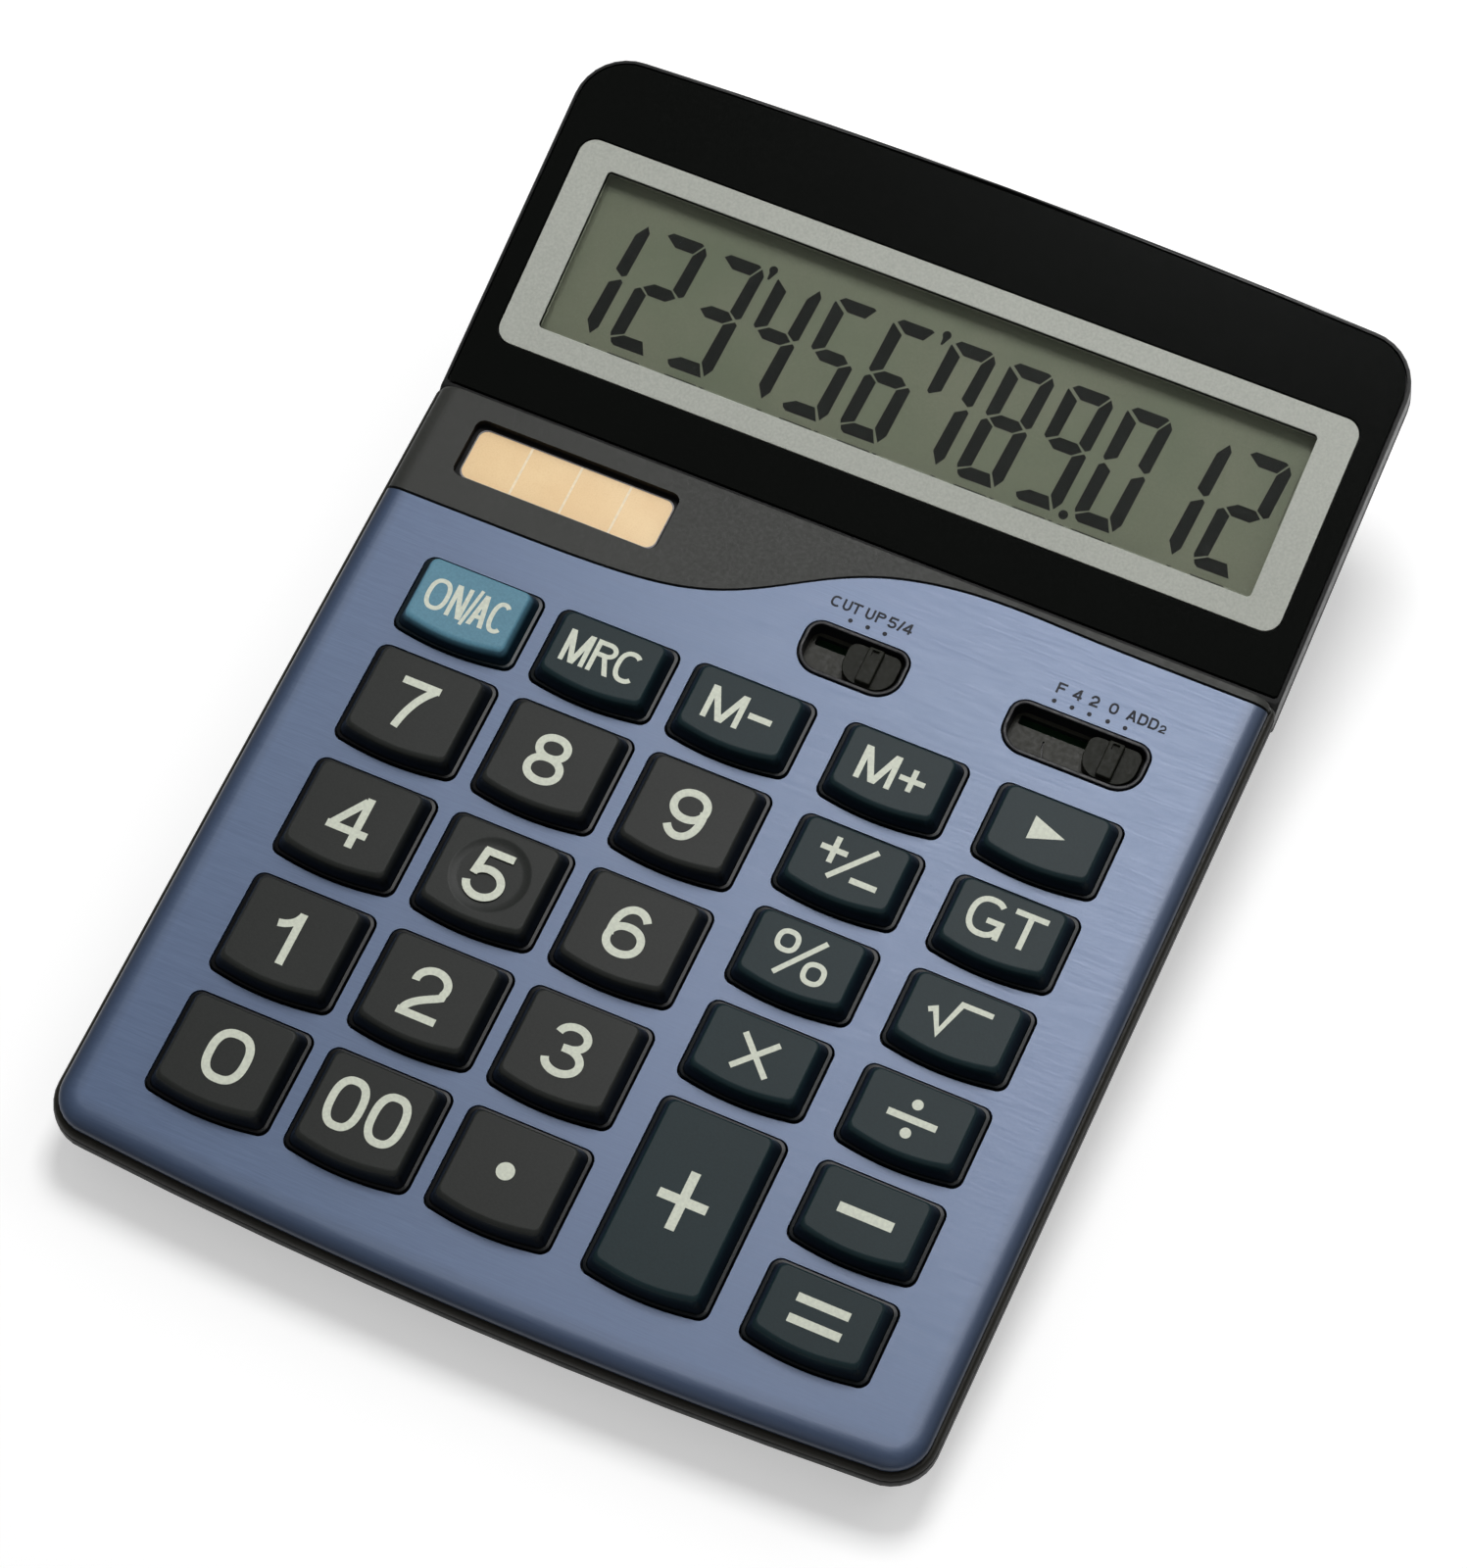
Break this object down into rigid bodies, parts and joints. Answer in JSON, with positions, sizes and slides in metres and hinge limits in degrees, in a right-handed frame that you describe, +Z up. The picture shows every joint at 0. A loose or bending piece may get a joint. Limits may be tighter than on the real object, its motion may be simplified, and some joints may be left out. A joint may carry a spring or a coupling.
{
  "type": "desktop calculator",
  "caption": "Wedge-shaped desktop calculator with a tilting display head, press keys, two slide switches and a solar cell.",
  "frame": {"origin": "middle of the object's box on the surface that the rubber feet stand on", "axes": "+X to the user's right, +Y from the front edge towards the display, +Z up"},
  "size_m": [0.155, 0.2182, 0.0463],
  "materials": {
    "grey_plastic": "fine matte dark grey",
    "black_plastic": "fine matte black",
    "blue_plate": "blue brushed",
    "number_key_plastic": "fine texture, near black",
    "function_key_plastic": "fine texture, dark slate",
    "power_key_plastic": "fine texture, teal blue",
    "silver_frame": "satin silver",
    "gloss_black": "glossy black",
    "clear_pane": "clear gloss",
    "lcd_glass": "grey green display",
    "board_green": "green lacquer",
    "chip_black": "black resin",
    "silicone": "matte grey",
    "black_rubber": "matte black",
    "solar_amber": "amber cell behind glass",
    "switch_plastic": "satin dark grey",
    "steel": "bright",
    "copper_film": "amber film"
  },
  "bodies": {
    "base": {"bottom_case": "grey_plastic", "top_case": "black_plastic", "face_plate": "blue_plate", "solar_cell": "solar_amber", "rounding_switch_guide": "switch_plastic", "decimal_switch_guide": "switch_plastic", "main_board": "board_green", "controller_chip": "chip_black", "rubber_keypad": "silicone", "battery_cell": "steel", "battery_contact_positive": "steel", "battery_contact_negative": "steel", "hinge_pin_left": "steel", "hinge_pin_right": "steel", "display_ribbon": "copper_film", "foot_front_left": "black_rubber", "foot_front_right": "black_rubber", "foot_rear_left": "black_rubber", "foot_rear_right": "black_rubber", "case_screw_front_left": "steel", "case_screw_front_right": "steel", "case_screw_rear_left": "steel", "case_screw_rear_right": "steel"},
    "display_head": {"display_front_case": "black_plastic", "display_rear_case": "grey_plastic", "display_fascia": "gloss_black", "display_frame": "silver_frame", "display_window": "clear_pane", "lcd_panel": "lcd_glass", "display_board": "board_green", "lcd_connector_strip": "black_rubber"},
    "key_on_ac_body": {"key_on_ac": "power_key_plastic"},
    "key_memory_recall_body": {"key_memory_recall": "function_key_plastic"},
    "key_memory_minus_body": {"key_memory_minus": "function_key_plastic"},
    "key_memory_plus_body": {"key_memory_plus": "function_key_plastic"},
    "key_backspace_body": {"key_backspace": "function_key_plastic"},
    "key_sign_change_body": {"key_sign_change": "function_key_plastic"},
    "key_percent_body": {"key_percent": "function_key_plastic"},
    "key_multiply_body": {"key_multiply": "function_key_plastic"},
    "key_plus_body": {"key_plus": "function_key_plastic"},
    "key_grand_total_body": {"key_grand_total": "function_key_plastic"},
    "key_square_root_body": {"key_square_root": "function_key_plastic"},
    "key_divide_body": {"key_divide": "function_key_plastic"},
    "key_minus_body": {"key_minus": "function_key_plastic"},
    "key_equals_body": {"key_equals": "function_key_plastic"},
    "key_0_body": {"key_0": "number_key_plastic"},
    "key_00_body": {"key_00": "number_key_plastic"},
    "key_1_body": {"key_1": "number_key_plastic"},
    "key_2_body": {"key_2": "number_key_plastic"},
    "key_3_body": {"key_3": "number_key_plastic"},
    "key_4_body": {"key_4": "number_key_plastic"},
    "key_5_body": {"key_5": "number_key_plastic"},
    "key_6_body": {"key_6": "number_key_plastic"},
    "key_7_body": {"key_7": "number_key_plastic"},
    "key_8_body": {"key_8": "number_key_plastic"},
    "key_9_body": {"key_9": "number_key_plastic"},
    "key_decimal_point_body": {"key_decimal_point": "number_key_plastic"},
    "rounding_switch_knob_body": {"rounding_switch_knob": "switch_plastic"},
    "decimal_switch_knob_body": {"decimal_switch_knob": "switch_plastic"},
    "battery_cover_body": {"battery_cover": "grey_plastic"}
  },
  "joints": [
    {"name": "display_tilt", "type": "hinge", "parent": "base", "child": "display_head", "pos_m": [0, 0.04522, 0.02111], "axis": [1, 0, 0], "range_deg": [-13, 27], "deforming": ["display_ribbon"]},
    {"name": "key_on_ac_press", "type": "slide", "parent": "base", "child": "key_on_ac_body", "axis": [0, 0.0872, -0.9962], "range_m": [0, 0.0016], "stiffness_N_per_m": 400, "springref_m": -0.0015, "deforming": ["rubber_keypad"]},
    {"name": "key_memory_recall_press", "type": "slide", "parent": "base", "child": "key_memory_recall_body", "axis": [0, 0.0872, -0.9962], "range_m": [0, 0.0016], "stiffness_N_per_m": 400, "springref_m": -0.0015, "deforming": ["rubber_keypad"]},
    {"name": "key_memory_minus_press", "type": "slide", "parent": "base", "child": "key_memory_minus_body", "axis": [0, 0.0872, -0.9962], "range_m": [0, 0.0016], "stiffness_N_per_m": 400, "springref_m": -0.0015, "deforming": ["rubber_keypad"]},
    {"name": "key_memory_plus_press", "type": "slide", "parent": "base", "child": "key_memory_plus_body", "axis": [0, 0.0872, -0.9962], "range_m": [0, 0.0016], "stiffness_N_per_m": 400, "springref_m": -0.0015, "deforming": ["rubber_keypad"]},
    {"name": "key_backspace_press", "type": "slide", "parent": "base", "child": "key_backspace_body", "axis": [0, 0.0872, -0.9962], "range_m": [0, 0.0016], "stiffness_N_per_m": 400, "springref_m": -0.0015, "deforming": ["rubber_keypad"]},
    {"name": "key_sign_change_press", "type": "slide", "parent": "base", "child": "key_sign_change_body", "axis": [0, 0.0872, -0.9962], "range_m": [0, 0.0016], "stiffness_N_per_m": 400, "springref_m": -0.0015, "deforming": ["rubber_keypad"]},
    {"name": "key_percent_press", "type": "slide", "parent": "base", "child": "key_percent_body", "axis": [0, 0.0872, -0.9962], "range_m": [0, 0.0016], "stiffness_N_per_m": 400, "springref_m": -0.0015, "deforming": ["rubber_keypad"]},
    {"name": "key_multiply_press", "type": "slide", "parent": "base", "child": "key_multiply_body", "axis": [0, 0.0872, -0.9962], "range_m": [0, 0.0016], "stiffness_N_per_m": 400, "springref_m": -0.0015, "deforming": ["rubber_keypad"]},
    {"name": "key_plus_press", "type": "slide", "parent": "base", "child": "key_plus_body", "axis": [0, 0.0872, -0.9962], "range_m": [0, 0.0016], "stiffness_N_per_m": 400, "springref_m": -0.0015, "deforming": ["rubber_keypad"]},
    {"name": "key_grand_total_press", "type": "slide", "parent": "base", "child": "key_grand_total_body", "axis": [0, 0.0872, -0.9962], "range_m": [0, 0.0016], "stiffness_N_per_m": 400, "springref_m": -0.0015, "deforming": ["rubber_keypad"]},
    {"name": "key_square_root_press", "type": "slide", "parent": "base", "child": "key_square_root_body", "axis": [0, 0.0872, -0.9962], "range_m": [0, 0.0016], "stiffness_N_per_m": 400, "springref_m": -0.0015, "deforming": ["rubber_keypad"]},
    {"name": "key_divide_press", "type": "slide", "parent": "base", "child": "key_divide_body", "axis": [0, 0.0872, -0.9962], "range_m": [0, 0.0016], "stiffness_N_per_m": 400, "springref_m": -0.0015, "deforming": ["rubber_keypad"]},
    {"name": "key_minus_press", "type": "slide", "parent": "base", "child": "key_minus_body", "axis": [0, 0.0872, -0.9962], "range_m": [0, 0.0016], "stiffness_N_per_m": 400, "springref_m": -0.0015, "deforming": ["rubber_keypad"]},
    {"name": "key_equals_press", "type": "slide", "parent": "base", "child": "key_equals_body", "axis": [0, 0.0872, -0.9962], "range_m": [0, 0.0016], "stiffness_N_per_m": 400, "springref_m": -0.0015, "deforming": ["rubber_keypad"]},
    {"name": "key_0_press", "type": "slide", "parent": "base", "child": "key_0_body", "axis": [0, 0.0872, -0.9962], "range_m": [0, 0.0016], "stiffness_N_per_m": 400, "springref_m": -0.0015, "deforming": ["rubber_keypad"]},
    {"name": "key_00_press", "type": "slide", "parent": "base", "child": "key_00_body", "axis": [0, 0.0872, -0.9962], "range_m": [0, 0.0016], "stiffness_N_per_m": 400, "springref_m": -0.0015, "deforming": ["rubber_keypad"]},
    {"name": "key_1_press", "type": "slide", "parent": "base", "child": "key_1_body", "axis": [0, 0.0872, -0.9962], "range_m": [0, 0.0016], "stiffness_N_per_m": 400, "springref_m": -0.0015, "deforming": ["rubber_keypad"]},
    {"name": "key_2_press", "type": "slide", "parent": "base", "child": "key_2_body", "axis": [0, 0.0872, -0.9962], "range_m": [0, 0.0016], "stiffness_N_per_m": 400, "springref_m": -0.0015, "deforming": ["rubber_keypad"]},
    {"name": "key_3_press", "type": "slide", "parent": "base", "child": "key_3_body", "axis": [0, 0.0872, -0.9962], "range_m": [0, 0.0016], "stiffness_N_per_m": 400, "springref_m": -0.0015, "deforming": ["rubber_keypad"]},
    {"name": "key_4_press", "type": "slide", "parent": "base", "child": "key_4_body", "axis": [0, 0.0872, -0.9962], "range_m": [0, 0.0016], "stiffness_N_per_m": 400, "springref_m": -0.0015, "deforming": ["rubber_keypad"]},
    {"name": "key_5_press", "type": "slide", "parent": "base", "child": "key_5_body", "axis": [0, 0.0872, -0.9962], "range_m": [0, 0.0016], "stiffness_N_per_m": 400, "springref_m": -0.0015, "deforming": ["rubber_keypad"]},
    {"name": "key_6_press", "type": "slide", "parent": "base", "child": "key_6_body", "axis": [0, 0.0872, -0.9962], "range_m": [0, 0.0016], "stiffness_N_per_m": 400, "springref_m": -0.0015, "deforming": ["rubber_keypad"]},
    {"name": "key_7_press", "type": "slide", "parent": "base", "child": "key_7_body", "axis": [0, 0.0872, -0.9962], "range_m": [0, 0.0016], "stiffness_N_per_m": 400, "springref_m": -0.0015, "deforming": ["rubber_keypad"]},
    {"name": "key_8_press", "type": "slide", "parent": "base", "child": "key_8_body", "axis": [0, 0.0872, -0.9962], "range_m": [0, 0.0016], "stiffness_N_per_m": 400, "springref_m": -0.0015, "deforming": ["rubber_keypad"]},
    {"name": "key_9_press", "type": "slide", "parent": "base", "child": "key_9_body", "axis": [0, 0.0872, -0.9962], "range_m": [0, 0.0016], "stiffness_N_per_m": 400, "springref_m": -0.0015, "deforming": ["rubber_keypad"]},
    {"name": "key_decimal_point_press", "type": "slide", "parent": "base", "child": "key_decimal_point_body", "axis": [0, 0.0872, -0.9962], "range_m": [0, 0.0016], "stiffness_N_per_m": 400, "springref_m": -0.0015, "deforming": ["rubber_keypad"]},
    {"name": "rounding_switch_slide", "type": "slide", "parent": "base", "child": "rounding_switch_knob_body", "axis": [1, 0, 0], "range_m": [-0.0063, 0]},
    {"name": "decimal_switch_slide", "type": "slide", "parent": "base", "child": "decimal_switch_knob_body", "axis": [1, 0, 0], "range_m": [-0.0126, 0]},
    {"name": "battery_cover_turn", "type": "hinge", "parent": "base", "child": "battery_cover_body", "pos_m": [-0.034, 0.01052, 0.003], "axis": [0, 0, 1], "range_deg": [0, 45]}
  ]
}
